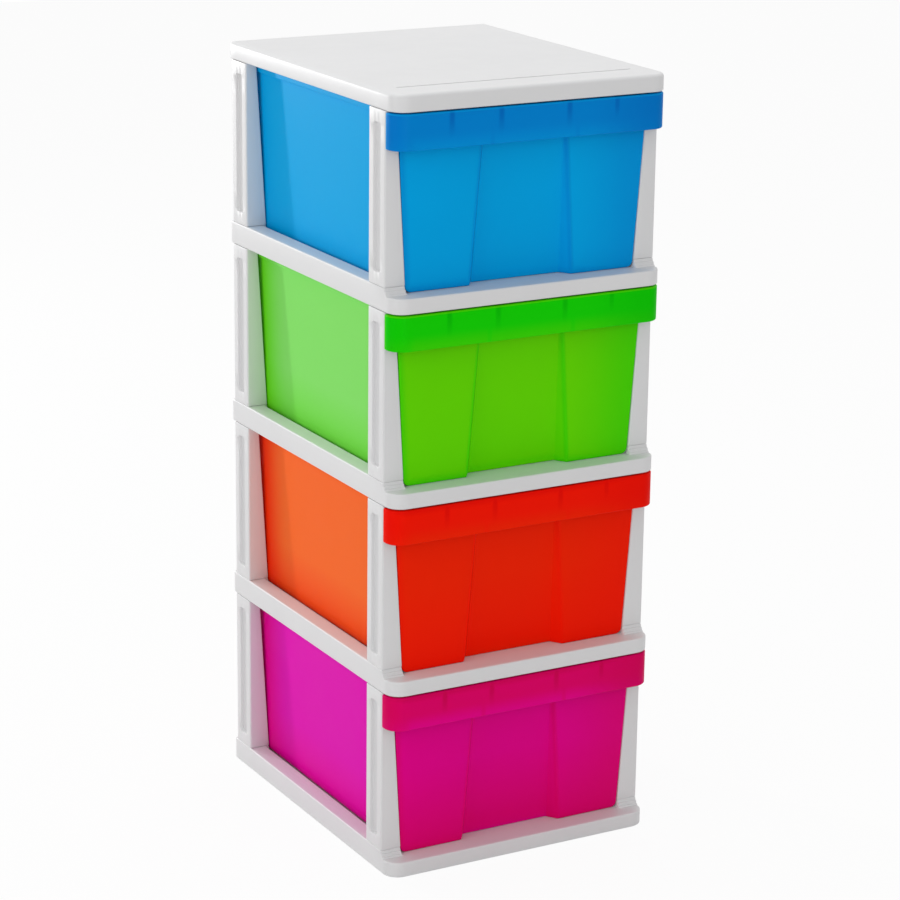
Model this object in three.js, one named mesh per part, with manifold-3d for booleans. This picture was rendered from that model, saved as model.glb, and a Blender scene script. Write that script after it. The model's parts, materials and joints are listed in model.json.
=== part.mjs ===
// Tower of four plastic drawers: a base plate, three shelves and a top panel carried on sixteen posts,
// with a see-through coloured drawer on each level. Millimetres, +Z up, the front faces -Y.
// The origin is at the centre of the footprint, on the floor.
import * as THREE from 'three';
import { mergeVertices } from 'three/addons/utils/BufferGeometryUtils.js';
import Module from 'manifold-3d';

const wasm = await Module();
wasm.setup();

// Whole unit
const unitWidth = 310;
const unitDepth = 374;
const unitHeight = 810;
const levelCount = 4;
const seatGap = 0.3;

// Plates: base, shelves and top panel
const deckHeight = 16;
const deckThickness = 3;
const railHeight = 24;
const railWidth = 19;
const rearRailWidth = 9;
const plateWall = 2.5;
const plateEdge = 1.6;
const railEdge = 0.8;
const frontCornerRadius = 17;
const rearCornerRadius = 4;
const ribThickness = 3;
const collarStepCount = 2;
const collarStepDepth = 2.6;
const collarStepHeight = 3.2;
const panelHeight = 18;
const panelEdge = 4;
const panelGrooveSetback = 39;
const panelGrooveEndInset = 22;
const panelGrooveWidth = 2;
const panelGrooveDepth = 1;

// Posts
const frontSetback = 21;
const rearSetback = 7;
const postDepth = 34;
const postFootWidth = 23.2;
const postTopWidth = 12.8;
const grooveWidth = 14;
const grooveDepth = 3;
const grooveBottomGap = 13.5;
const grooveTopGap = 13.5;
const tenonLength = 7.5;
const tenonSideWall = 2.4;
const tenonEndWall = 5;
const tenonGap = 0.3;

// Drawer tub
const slideGap = 0.8;
const tubSideClearance = 1.4;
const tubWall = 2;
const tubBottomEdge = 5;
const tubCornerRadius = 9;
const tubRearSetback = 13;
const tubRearDraft = 2.5;
const rimTopGap = 1.4;
const rimHeight = 8.5;
const rimOverhang = 3;

// Drawer front
const frontDraft = 3.1;
const frontFloorSetback = 22.5;
const fasciaThickness = 2.2;
const fasciaProud = 0.8;
const fasciaCornerRadius = 7;
const recessFloorWidth = 118;
const recessTopWidth = 96;
const recessTopGap = 5;
const recessFloorDepth = 12;
const recessTopDepth = 3.5;
const recessWallSpread = 0.7;

// Handle band across the drawer front
const bandHeight = 36.1;
const bandWall = 2.2;
const bandRoof = 2;
const bandEdge = 1.6;
const bandPostGap = 1;
const bandRibThickness = 2;
const bandRibHeight = 26;
const bandRibInnerSpan = 77;
const bandRibOuterSpan = 187;

// Fineness of curves
const cornerSegments = 5;
const edgeSegments = 2;
const leastRadius = 0.4;
const cutMargin = 1;
const blend = 0.5;

// Places that follow from the sizes
const levelPitch = (unitHeight - panelHeight) / levelCount;
const halfWidth = unitWidth / 2;
const frontEdge = -unitDepth / 2;
const rearEdge = unitDepth / 2;
const postFront = frontEdge + frontSetback;
const postRear = rearEdge - rearSetback;
const railInner = halfWidth - railWidth;
const bayFloorHalf = halfWidth - postFootWidth;
const bayTopHalf = halfWidth - postTopWidth;
const postFoot = railHeight + seatGap;
const postHead = levelPitch - seatGap;
const tubFloor = deckHeight + seatGap;
const rimTop = levelPitch - rimTopGap;
const rimBottom = rimTop - rimHeight;
const bandBottom = rimTop - bandHeight;
const bandBack = postFront - bandPostGap;
const bandCornerRadius = Math.min(frontCornerRadius, bandBack - frontEdge - bandWall);

// Half the clear width between left and right posts at a height above the plate's underside
function bayHalfAt(z) {
  const share = (z - postFoot) / (postHead - postFoot);
  return bayFloorHalf + (bayTopHalf - bayFloorHalf) * Math.max(share, 0);
}

// Turns a closed geometry into a solid that can be joined and cut
function toSolid(geometry) {
  const bare = geometry.clone();
  bare.deleteAttribute('normal');
  bare.deleteAttribute('uv');
  const merged = mergeVertices(bare, 1e-5);
  const vertProperties = new Float32Array(merged.attributes.position.array);
  const triVerts = new Uint32Array(merged.index.array);
  return new wasm.Manifold(new wasm.Mesh({ numProp: 3, vertProperties, triVerts }));
}

// Turns a solid back into a geometry with flat faces
function toGeometry(solid) {
  const mesh = solid.getMesh();
  const indexed = new THREE.BufferGeometry();
  indexed.setAttribute('position', new THREE.BufferAttribute(new Float32Array(mesh.vertProperties), 3));
  indexed.setIndex(new THREE.BufferAttribute(new Uint32Array(mesh.triVerts), 1));
  const flat = indexed.toNonIndexed();
  flat.computeVertexNormals();
  return flat;
}

// A block between two opposite corners
function block(x0, x1, y0, y1, z0, z1) {
  const geometry = new THREE.BoxGeometry(x1 - x0, y1 - y0, z1 - z0);
  geometry.translate((x0 + x1) / 2, (y0 + y1) / 2, (z0 + z1) / 2);
  return toSolid(geometry);
}

// A closed body through rings of equally many points, listed from the bottom ring to the top ring
function loft(rings) {
  const count = rings[0].length;
  const positions = rings.flat().flatMap((point) => [point.x, point.y, point.z]);
  const indices = [];
  for (let level = 0; level < rings.length - 1; level += 1) {
    for (let i = 0; i < count; i += 1) {
      const a = level * count + i;
      const b = level * count + (i + 1) % count;
      indices.push(a, b, a + count);
      indices.push(b, b + count, a + count);
    }
  }
  const last = (rings.length - 1) * count;
  for (let i = 1; i < count - 1; i += 1) {
    indices.push(0, i + 1, i);
    indices.push(last, last + i, last + i + 1);
  }
  const geometry = new THREE.BufferGeometry();
  geometry.setAttribute('position', new THREE.Float32BufferAttribute(positions, 3));
  geometry.setIndex(indices);
  return toSolid(geometry);
}

// One level ring: a rectangle with rounded front and rear corners, drawn in by an inset
function ring(plan, z, inset) {
  const half = plan.half - inset;
  const front = plan.front + inset;
  const rear = plan.rear - inset;
  const frontRadius = Math.max(plan.frontRadius - inset, leastRadius);
  const rearRadius = Math.max(plan.rearRadius - inset, leastRadius);
  const corners = [
    [half - rearRadius, rear - rearRadius, rearRadius, 0],
    [-half + rearRadius, rear - rearRadius, rearRadius, 1],
    [-half + frontRadius, front + frontRadius, frontRadius, 2],
    [half - frontRadius, front + frontRadius, frontRadius, 3],
  ];
  const points = [];
  for (const [x, y, radius, quarter] of corners) {
    for (let i = 0; i <= cornerSegments; i += 1) {
      const angle = (quarter + i / cornerSegments) * Math.PI / 2;
      points.push(new THREE.Vector3(x + radius * Math.cos(angle), y + radius * Math.sin(angle), z));
    }
  }
  return points;
}

// An upright slab over one plan, with its lower and upper edges rounded
function slab(plan, z0, z1, lowerEdge, upperEdge) {
  const rings = [];
  for (let i = 0; i <= edgeSegments; i += 1) {
    const angle = i / edgeSegments * Math.PI / 2;
    rings.push(ring(plan, z0 + lowerEdge * (1 - Math.cos(angle)), lowerEdge * (1 - Math.sin(angle))));
  }
  for (let i = edgeSegments; i >= 0; i -= 1) {
    const angle = i / edgeSegments * Math.PI / 2;
    rings.push(ring(plan, z1 - upperEdge * (1 - Math.cos(angle)), upperEdge * (1 - Math.sin(angle))));
  }
  return loft(rings);
}

// A square-edged slab over one plan
function plainSlab(plan, z0, z1) {
  return loft([ring(plan, z0, 0), ring(plan, z1, 0)]);
}

const platePlan = {
  half: halfWidth,
  front: frontEdge,
  rear: rearEdge,
  frontRadius: frontCornerRadius,
  rearRadius: rearCornerRadius,
};

// Footprints of the four posts: side is -1 at the left and 1 at the right
const postPlaces = [
  { name: 'front_left', side: -1, front: postFront },
  { name: 'front_right', side: 1, front: postFront },
  { name: 'rear_left', side: -1, front: postRear - postDepth },
  { name: 'rear_right', side: 1, front: postRear - postDepth },
];

// The tongue at a post's end, or the socket that takes it when grown by a clearance
function tenon(spot, z0, z1, growth) {
  const outer = halfWidth - tenonSideWall + growth;
  const inner = bayTopHalf + tenonSideWall - growth;
  const x = [spot.side * inner, spot.side * outer].sort((a, b) => a - b);
  const front = spot.front + tenonEndWall - growth;
  const rear = spot.front + postDepth - tenonEndWall + growth;
  return block(x[0], x[1], front, rear, z0, z1);
}

// Post sockets cut into a plate, from above and from below as asked
function cutSockets(plate, above, below) {
  const depth = tenonLength + seatGap;
  let result = plate;
  for (const spot of postPlaces) {
    if (above) {
      result = result.subtract(tenon(spot, railHeight - depth, railHeight + cutMargin, tenonGap));
    }
    if (below) {
      result = result.subtract(tenon(spot, -cutMargin, depth, tenonGap));
    }
  }
  return result;
}

// Hollow under the deck on each side of one middle rib
function cutUnderside(plate, roof) {
  const front = frontEdge + plateWall;
  const rear = rearEdge - plateWall;
  const outer = railInner - plateWall;
  const inner = ribThickness / 2;
  const left = block(-outer, -inner, front, rear, -cutMargin, roof);
  const right = block(inner, outer, front, rear, -cutMargin, roof);
  return plate.subtract(left).subtract(right);
}

// Raised rails along both sides and the rear, with a wider collar under each post. Shallow steps lead
// up to the front collars.
function raisedRails() {
  const outline = slab(platePlan, 0, railHeight, plateEdge, railEdge);
  const outside = halfWidth + cutMargin;
  const behind = rearEdge + cutMargin;
  let rails = block(-outside, outside, rearEdge - rearRailWidth, behind, plateEdge, railHeight);
  const raise = (inner, front, rear, top) => {
    rails = rails.add(block(inner, outside, front, rear, plateEdge, top));
    rails = rails.add(block(-outside, -inner, front, rear, plateEdge, top));
  };
  raise(railInner, postFront, behind, railHeight);
  raise(bayFloorHalf, postRear - postDepth, behind, railHeight);
  for (let step = 0; step <= collarStepCount; step += 1) {
    const front = postFront - step * collarStepDepth;
    raise(bayFloorHalf, front, postFront + postDepth, railHeight - step * collarStepHeight);
  }
  return outline.intersect(rails);
}

// A plate with a deck and raised rails: a shelf, or the base when it has no sockets below
function shelfPlate(socketsBelow) {
  const deck = slab(platePlan, 0, deckHeight, plateEdge, plateEdge);
  const plate = cutUnderside(deck.add(raisedRails()), deckHeight - deckThickness);
  return cutSockets(plate, true, socketsBelow);
}

// The closed top panel, with rounded upper edges and a shallow groove behind its front edge
function topPanel() {
  const body = slab(platePlan, 0, panelHeight, plateEdge, panelEdge);
  const grooveFront = frontEdge + panelGrooveSetback;
  const grooveHalf = halfWidth - panelGrooveEndInset;
  const grooveFloor = panelHeight - panelGrooveDepth;
  const groove = block(
    -grooveHalf,
    grooveHalf,
    grooveFront,
    grooveFront + panelGrooveWidth,
    grooveFloor,
    panelHeight + cutMargin,
  );
  const panel = cutUnderside(body.subtract(groove), grooveFloor - deckThickness);
  return cutSockets(panel, false, true);
}

// A post: wider at its foot, a long sunken groove in its outer face and a tongue at each end
function post(spot) {
  const outer = spot.side * halfWidth;
  const foot = spot.side * bayFloorHalf;
  const head = spot.side * bayTopHalf;
  const outline = new THREE.Shape();
  outline.moveTo(outer, postFoot);
  outline.lineTo(foot, postFoot);
  outline.lineTo(head, postHead);
  outline.lineTo(outer, postHead);
  outline.closePath();
  const column = new THREE.ExtrudeGeometry(outline, { depth: postDepth, bevelEnabled: false });
  column.rotateX(Math.PI / 2);
  column.translate(0, spot.front + postDepth, 0);
  const middle = spot.front + postDepth / 2;
  const grooveX = [outer - spot.side * grooveDepth, outer + spot.side * cutMargin].sort((a, b) => a - b);
  const groove = block(
    grooveX[0],
    grooveX[1],
    middle - grooveWidth / 2,
    middle + grooveWidth / 2,
    railHeight + grooveBottomGap,
    levelPitch - grooveTopGap,
  );
  const lowerTenon = tenon(spot, railHeight - tenonLength, postFoot + cutMargin, 0);
  const upperTenon = tenon(spot, postHead - cutMargin, levelPitch + tenonLength, 0);
  return toSolid(column).subtract(groove).add(lowerTenon).add(upperTenon);
}

// Front face of the drawer at a height: it leans forward towards the rim
function drawerFrontAt(z) {
  return frontEdge + frontFloorSetback - frontDraft * (z - tubFloor) / (rimTop - tubFloor);
}

// Plan of the tub at a height: it narrows towards the floor
function tubPlanAt(z) {
  const share = (z - tubFloor) / (rimTop - tubFloor);
  const floorHalf = bayFloorHalf - tubSideClearance;
  const topHalf = bayHalfAt(rimBottom) - slideGap - rimOverhang;
  return {
    half: floorHalf + (topHalf - floorHalf) * share,
    front: drawerFrontAt(z) + fasciaProud,
    rear: rearEdge - tubRearSetback - tubRearDraft * (1 - share),
    frontRadius: tubCornerRadius,
    rearRadius: tubCornerRadius,
  };
}

// The outer tub, with its floor edge rounded
function tubOuter() {
  const rings = [];
  for (let i = 0; i <= edgeSegments; i += 1) {
    const angle = i / edgeSegments * Math.PI / 2;
    const z = tubFloor + tubBottomEdge * (1 - Math.cos(angle));
    rings.push(ring(tubPlanAt(z), z, tubBottomEdge * (1 - Math.sin(angle))));
  }
  rings.push(ring(tubPlanAt(rimTop), rimTop, 0));
  return loft(rings);
}

// The space inside the tub, open above the rim
function tubInner() {
  const floor = tubFloor + tubWall;
  const shoulder = tubFloor + tubBottomEdge;
  const top = rimTop + cutMargin;
  return loft([
    ring(tubPlanAt(floor), floor, tubBottomEdge),
    ring(tubPlanAt(shoulder), shoulder, tubWall),
    ring(tubPlanAt(top), top, tubWall),
  ]);
}

// The rim: a bead around the tub's top
function tubRim() {
  const plan = {
    half: bayHalfAt(rimBottom) - slideGap,
    front: drawerFrontAt(rimTop) - blend,
    rear: rearEdge - tubRearSetback + rimOverhang,
    frontRadius: leastRadius,
    rearRadius: tubCornerRadius + rimOverhang,
  };
  return plainSlab(plan, rimBottom, rimTop);
}

// The flat face of the drawer, as wide as the gap between the front posts allows at each height
function fascia() {
  const floorHalf = bayFloorHalf - tubSideClearance;
  const topHalf = bayHalfAt(bandBottom) - slideGap;
  const top = rimTop - blend;
  const radius = fasciaCornerRadius;
  const outline = new THREE.Shape();
  outline.moveTo(-floorHalf + radius, tubFloor);
  outline.lineTo(floorHalf - radius, tubFloor);
  outline.quadraticCurveTo(floorHalf, tubFloor, floorHalf, tubFloor + radius);
  outline.lineTo(topHalf, bandBottom);
  outline.lineTo(topHalf, top);
  outline.lineTo(-topHalf, top);
  outline.lineTo(-topHalf, bandBottom);
  outline.lineTo(-floorHalf, tubFloor + radius);
  outline.quadraticCurveTo(-floorHalf, tubFloor, -floorHalf + radius, tubFloor);
  const options = { depth: fasciaThickness, bevelEnabled: false, curveSegments: edgeSegments };
  const plate = new THREE.ExtrudeGeometry(outline, options);
  plate.rotateX(Math.PI / 2);
  const position = plate.attributes.position;
  for (let i = 0; i < position.count; i += 1) {
    const back = position.getY(i) + fasciaThickness;
    position.setY(i, drawerFrontAt(position.getZ(i)) + back);
  }
  return toSolid(plate);
}

// The block that dents the middle of the drawer front, grown by a wall when it backs the dent.
// Its sides draw in as it goes deeper, by the spread for each unit of depth.
function recessBlock(growth, bottom) {
  const top = bandBottom + recessTopGap + growth;
  const across = growth * Math.hypot(1, recessWallSpread);
  const corner = (side, z, width, setback) => (
    new THREE.Vector3(
      side * (width / 2 + across - setback * recessWallSpread),
      drawerFrontAt(z) + setback,
      z,
    )
  );
  const level = (z, width, depth) => [
    corner(-1, z, width, -cutMargin),
    corner(1, z, width, -cutMargin),
    corner(1, z, width, depth + growth),
    corner(-1, z, width, depth + growth),
  ];
  return loft([
    level(bottom, recessFloorWidth, recessFloorDepth),
    level(top, recessTopWidth, recessTopDepth),
  ]);
}

// The handle band: a downturned lip, open below, whose ends turn back to the posts
function handleBand() {
  const plan = {
    half: halfWidth,
    front: frontEdge,
    rear: bandBack,
    frontRadius: bandCornerRadius,
    rearRadius: leastRadius,
  };
  const hollow = {
    ...plan,
    half: plan.half - bandWall,
    front: plan.front + bandWall,
    rear: plan.rear + cutMargin,
    frontRadius: plan.frontRadius - bandWall,
  };
  const band = slab(plan, bandBottom, rimTop, bandEdge, bandEdge);
  return band.subtract(plainSlab(hollow, bandBottom - cutMargin, rimTop - bandRoof));
}

// Four stiffening ribs between the band and the drawer front
function bandRibs() {
  const ribs = [];
  for (const span of [bandRibInnerSpan, bandRibOuterSpan]) {
    for (const side of [-1, 1]) {
      const middle = side * span / 2;
      ribs.push(block(
        middle - bandRibThickness / 2,
        middle + bandRibThickness / 2,
        frontEdge + bandWall - blend,
        drawerFrontAt(rimTop) + blend,
        rimTop - bandRibHeight,
        rimTop - blend,
      ));
    }
  }
  return ribs;
}

// A whole drawer: one moulding of tub, rim, face, dent and handle band
function drawer() {
  let shell = tubOuter().add(tubRim()).add(fascia()).subtract(tubInner());
  shell = shell.add(recessBlock(tubWall, tubFloor + blend).intersect(tubOuter()));
  shell = shell.subtract(recessBlock(0, tubFloor - cutMargin));
  shell = shell.add(handleBand());
  for (const rib of bandRibs()) {
    shell = shell.add(rib);
  }
  return shell;
}

// Materials
function whitePlastic() {
  return new THREE.MeshStandardMaterial({ color: 0xf1f1f2, roughness: 0.38, metalness: 0 });
}

function tintedPlastic(color) {
  return new THREE.MeshStandardMaterial({ color, roughness: 0.32, metalness: 0 });
}

const unit = new THREE.Group();
unit.name = 'drawer_tower';

// Puts one named piece into the unit at a height
function addPiece(name, geometry, material, height) {
  const mesh = new THREE.Mesh(geometry, material);
  mesh.name = name;
  mesh.position.z = height;
  unit.add(mesh);
}

// Levels from the floor up
const levelNames = ['level1', 'level2', 'level3', 'level4'];
const shelfNames = ['shelf_lower', 'shelf_middle', 'shelf_upper'];
const drawers = [
  { name: 'drawer_magenta', color: 0xcf0078 },
  { name: 'drawer_orange', color: 0xf0380a },
  { name: 'drawer_green', color: 0x55c800 },
  { name: 'drawer_blue', color: 0x0094d6 },
];

addPiece('base_plate', toGeometry(shelfPlate(false)), whitePlastic(), 0);
const shelfGeometry = toGeometry(shelfPlate(true));
shelfNames.forEach((name, index) => {
  addPiece(name, shelfGeometry, whitePlastic(), (index + 1) * levelPitch);
});
addPiece('top_panel', toGeometry(topPanel()), whitePlastic(), levelCount * levelPitch);
for (const spot of postPlaces) {
  const geometry = toGeometry(post(spot));
  levelNames.forEach((level, index) => {
    addPiece(`post_${level}_${spot.name}`, geometry, whitePlastic(), index * levelPitch);
  });
}
const drawerGeometry = toGeometry(drawer());
drawers.forEach((item, index) => {
  addPiece(item.name, drawerGeometry, tintedPlastic(item.color), index * levelPitch);
});

export default unit;
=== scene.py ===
"""Drawer tower: smooth moulded plates, posts and see-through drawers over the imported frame.

Metres, +Z up, the drawers' fronts face -Y. Heights inside a level are measured from the underside
of the plate that carries it.
"""

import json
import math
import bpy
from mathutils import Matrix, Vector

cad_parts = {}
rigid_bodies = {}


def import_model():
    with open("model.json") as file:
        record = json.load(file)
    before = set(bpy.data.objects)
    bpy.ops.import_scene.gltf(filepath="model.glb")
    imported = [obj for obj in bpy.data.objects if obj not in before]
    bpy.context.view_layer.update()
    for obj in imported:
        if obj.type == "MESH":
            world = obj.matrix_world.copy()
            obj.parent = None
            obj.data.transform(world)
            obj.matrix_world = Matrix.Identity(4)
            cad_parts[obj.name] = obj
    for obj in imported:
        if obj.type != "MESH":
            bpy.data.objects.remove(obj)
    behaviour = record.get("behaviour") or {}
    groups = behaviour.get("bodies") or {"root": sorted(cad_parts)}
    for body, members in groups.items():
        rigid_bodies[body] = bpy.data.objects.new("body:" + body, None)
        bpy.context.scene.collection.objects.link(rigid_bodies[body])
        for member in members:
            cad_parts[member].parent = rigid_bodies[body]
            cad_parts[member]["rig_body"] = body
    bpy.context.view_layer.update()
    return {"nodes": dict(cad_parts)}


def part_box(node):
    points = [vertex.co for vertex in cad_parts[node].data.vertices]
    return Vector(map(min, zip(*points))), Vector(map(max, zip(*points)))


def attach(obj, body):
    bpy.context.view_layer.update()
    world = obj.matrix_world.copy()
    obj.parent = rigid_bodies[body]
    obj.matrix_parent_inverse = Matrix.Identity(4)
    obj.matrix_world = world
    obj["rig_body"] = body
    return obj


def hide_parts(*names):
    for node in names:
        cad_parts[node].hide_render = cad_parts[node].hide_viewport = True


bl_info = {
    "name": "Drawer Tower",
    "version": (1, 0, 0),
    "blender": (4, 5, 0),
    "location": "3D View > Sidebar > Drawer Tower",
    "description": "Builds a white plastic tower with four see-through coloured drawers",
    "category": "Object",
}

import bmesh
import bpy
import numpy as np
from mathutils import Matrix

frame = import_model()

MM = 0.001
BASE_LOW, BASE_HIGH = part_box("base_plate")
SHELF_LOW, SHELF_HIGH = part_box("shelf_lower")
PANEL_LOW, PANEL_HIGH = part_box("top_panel")
DRAWER_LOW, DRAWER_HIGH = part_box("drawer_magenta")
HALF_WIDTH = BASE_HIGH.x
FRONT = BASE_LOW.y
REAR = BASE_HIGH.y
PLATE_HEIGHT = SHELF_HIGH.z - SHELF_LOW.z
LEVEL_PITCH = SHELF_LOW.z - BASE_LOW.z
SHELVES = ("base_plate", "shelf_lower", "shelf_middle", "shelf_upper")


# Sizes and colours that a user can change


def number(name, description, default, **kind):
    """A number that isn't negative."""
    return bpy.props.FloatProperty(
        name=name, description=description, default=default, min=0.0, **kind
    )


def length(name, description, default):
    """A length, whose default is given in millimetres."""
    return number(name, description, default * MM, unit="LENGTH", precision=4)


def triple(name, description, default, **kind):
    """Three numbers."""
    return bpy.props.FloatVectorProperty(
        name=name, description=description, default=default, size=3, **kind
    )


def colour(name, description, default):
    """A plain colour."""
    return triple(name, description, default, min=0.0, max=1.0, subtype="COLOR")


class TowerPlateSizes(bpy.types.PropertyGroup):
    """Sizes of the base plate, the shelves and the top panel."""

    deck_height: length("Deck height", "Height of a deck above its underside", 16)
    deck_thickness: length("Deck thickness", "Wall left above the hollow underside", 3)
    rail_height: length("Rail height", "Height of the side and rear rails", PLATE_HEIGHT / MM)
    rail_width: length("Side rail width", "Width of each raised side rail", 19)
    rear_rail_width: length("Rear rail width", "Width of the raised rear rail", 9)
    rail_round: length("Rail rounding", "Rounding of a rail's inner edge", 0.9)
    front_radius: length("Front corner radius", "Radius of the two front corners", 17)
    rear_radius: length("Rear corner radius", "Radius of the two rear corners", 4)
    wall: length("Outer wall", "Thickness of the plates' outer walls", 2.5)
    edge: length("Edge radius", "Radius of the plates' edges", 1.5)
    rib_thickness: length("Rib thickness", "Thickness of the rib under each plate", 3)
    panel_edge: length("Top panel edge radius", "Radius of the top panel's upper edge", 4)
    groove_setback: length("Groove setback", "Groove's distance from the front", 40)
    groove_end: length("Groove end", "Groove's distance from the sides", 22)
    groove_width: length("Groove width", "Width of the top panel's groove", 3.4)
    groove_depth: length("Groove depth", "Depth of the top panel's groove", 1.7)
    step_depth: length("Collar step depth", "Depth of a step before a front post", 2)
    step_height: length("Collar step height", "Height of a step before a front post", 3.2)
    collar_width: length("Collar width", "Width of the raised collar under each post", 23.2)


class TowerPostSizes(bpy.types.PropertyGroup):
    """Sizes of the sixteen posts."""

    front_setback: length("Front setback", "Front posts' distance from the plates' front", 21)
    rear_setback: length("Rear setback", "Rear posts' distance from the plates' rear", 7)
    depth: length("Depth", "Depth of a post from front to rear", 34)
    foot_width: length("Foot width", "Width of a post at its foot", 23.2)
    head_width: length("Head width", "Width of a post at its head", 12.8)
    edge: length("Edge radius", "Radius of a post's upright edges", 1.6)
    seam: length("Seam", "Gap between a post and the plates", 0.3)
    seam_round: length("Seam rounding", "Rounding of a post's ends", 0.5)
    groove_width: length("Groove width", "Width of the groove in a post's outer face", 14)
    groove_depth: length("Groove depth", "Depth of that groove", 3)
    groove_end: length("Groove end", "Height left plain at each end of the groove", 13.5)


class TowerDrawerSizes(bpy.types.PropertyGroup):
    """Sizes of the four drawers."""

    wall: length("Wall", "Thickness of the tub's walls and floor", 2)
    floor_half: length("Half floor width", "Half the tub's width at its floor", 130.9)
    head_half: length("Half head width", "Half the tub's width under its rim", 137.8)
    face_half: length("Half face width", "Half the front's width just under the band", 139.5)
    face_thickness: length("Face thickness", "Depth of the wider front", 2.2)
    front_setback: length("Front setback", "Tub's distance from the plates' front", 22.5)
    front_lean: length("Front lean", "How far the front leans forward", 3.1)
    rear_setback: length("Rear setback", "Tub's distance from the plates' rear", 13)
    rear_lean: length("Rear lean", "How far the rear leans back", 2.5)
    floor_edge: length("Floor edge radius", "Radius of the floor's edge at sides and rear", 7)
    front_edge: length("Front edge radius", "Radius of the floor's edge at the front", 1.4)
    front_corner: length("Front corner radius", "Radius of the front's upright corners", 1.2)
    rear_corner: length("Rear corner radius", "Radius of the tub's upright rear corners", 9)
    rim_height: length("Rim height", "Height of the bead round the tub's top", 8.5)
    rim_reach: length("Rim reach", "How far the bead stands out of the tub", 2.8)
    dent_floor_width: length("Dent floor width", "Width of the dented middle at the floor", 118)
    dent_top_width: length("Dent top width", "Width of the dented middle at its top", 96)
    dent_floor_depth: length("Dent floor depth", "Depth of the dent at the floor", 12)
    dent_top_depth: length("Dent top depth", "Depth of the dent at its top", 3.5)
    band_height: length("Band height", "Height of the handle band", 36.1)
    band_wall: length("Band wall", "Thickness of the band's wall", 2.2)
    band_roof: length("Band roof", "Thickness of the band's top", 2)
    band_edge: length("Band edge radius", "Radius of the band's outer edges", 1.6)
    band_gap: length("Band gap", "Gap between the band and the front posts", 1)
    rib_thickness: length("Rib thickness", "Thickness of the ribs behind the band", 2)
    rib_height: length("Rib height", "Height of the ribs behind the band", 26)
    rib_inner_span: length("Inner rib span", "Distance between the two inner ribs", 77)
    rib_outer_span: length("Outer rib span", "Distance between the two outer ribs", 187)


class TowerColours(bpy.types.PropertyGroup):
    """Colours of the plastics."""

    white: colour("White", "Colour of the plates and posts", (0.72, 0.72, 0.725))


# Each drawer's own colour, the lighter one of its sides, which is painted light, the deeper one of
# its band, which is partly painted shade of the hollow behind the band, and its drift
PLASTICS = {
    "magenta": ((0.86, 0.0, 0.285), (0.8, 0.0, 0.47), (0.8, 0.0, 0.146), 0.85),
    "orange": ((1.0, 0.018, 0.0), (1.0, 0.15, 0.02), (1.0, 0.008, 0.0), 0.9),
    "green": ((0.14, 0.75, 0.0), (0.24, 0.78, 0.14), (0.006, 0.69, 0.0), 0.05),
    "blue": ((0.0, 0.41, 0.86), (0.0, 0.4, 0.82), (0.0, 0.243, 0.69), 0.1),
}


def plastic(name, own, side, band, drift):
    """The properties of one drawer's plastic."""
    title = name.capitalize()
    change = "How much its shade changes with height"
    return {
        name: colour(title, f"Colour of the {name} drawer", own),
        # the side colour is painted light; the band colour is partly painted shade
        name + "_side": colour(title + " sides", "Lighter colour of its sides", side),
        name + "_band": colour(title + " band", "Deeper colour of its band", band),
        name + "_drift": number(title + " drift", change, drift, max=1.0, subtype="FACTOR"),
    }


for plastic_name, values in PLASTICS.items():
    TowerColours.__annotations__ |= plastic(plastic_name, *values)


class TowerStage(bpy.types.PropertyGroup):
    """Camera and light."""

    camera_place: triple(
        "Camera place",
        "Where the camera stands",
        (-1.470825, -2.648573, 1.286246),
        subtype="TRANSLATION",
        unit="LENGTH",
    )
    camera_turn: triple(
        "Camera turn",
        "The camera's turn from +Y, its rise and its roll",
        (0.51078, -0.28765, 0.01274),
        subtype="EULER",
        unit="ROTATION",
    )
    camera_lens: number("Lens", "Focal length in mm on 36 mm film", 118.727)
    key_power: number("Key light", "Power of the light behind at the left", 38.0, unit="POWER")
    side_power: number("Side light", "Power of the light at the left", 16.5, unit="POWER")
    top_power: number("Top light", "Power of the light above", 27.0, unit="POWER")
    front_power: number("Front light", "Power of the light in front", 15.5, unit="POWER")
    sky: number("Sky", "Strength of the even light all round", 0.545)


# Shapes shared by the pieces

QUARTER_TURN = math.pi / 2
MERGE_DISTANCE = 2e-6
SHARP_ANGLE = math.radians(38)
SMALLEST_RADIUS = 0.4 * MM
OVERLAP = 0.5 * MM  # how far a rib or fin runs into its neighbour


def soft_step(value, middle, reach):
    """Rises from 0 to 1 within reach of the middle, as t squared times (3 - 2 t)."""
    t = np.clip((value - middle) / (2 * reach) + 0.5, 0, 1)
    return t * t * (3 - 2 * t)


def soft_ramp(value, reach):
    """Zero below -reach, value above reach, and (value + reach) squared over 4 reach between."""
    bend = (np.clip(value, -reach, reach) + reach) ** 2 / (4 * reach)
    return np.where(value > reach, value, bend)


def between(value, low, high, first, last):
    """Goes evenly from the first size to the last between low and high, and keeps them beyond."""
    return first + (last - first) * np.clip((value - low) / (high - low), 0, 1)


def lines_across(middle, reach, count=7):
    """Grid lines close together on both sides of a step."""
    return middle + reach * np.linspace(-1, 1, count)


def end_to_end(*parts):
    """One list from several."""
    return np.concatenate(parts)


def grid_lines(*parts):
    """Grid lines from several lists, each once, in rising order."""
    return np.unique(np.round(end_to_end(*parts), 7))


def both_sides(*parts):
    """Grid lines mirrored about the middle, in rising order."""
    lines = end_to_end(*parts)
    return grid_lines(-lines, lines)


def side_by_side(*parts):
    """One row for each height, joined from stretches of the ring."""
    return np.concatenate(parts, axis=1)


def quarter(count):
    """Sines and cosines of evenly spaced angles over a quarter turn."""
    angle = np.linspace(0, QUARTER_TURN, count)
    return np.sin(angle), np.cos(angle)


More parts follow.
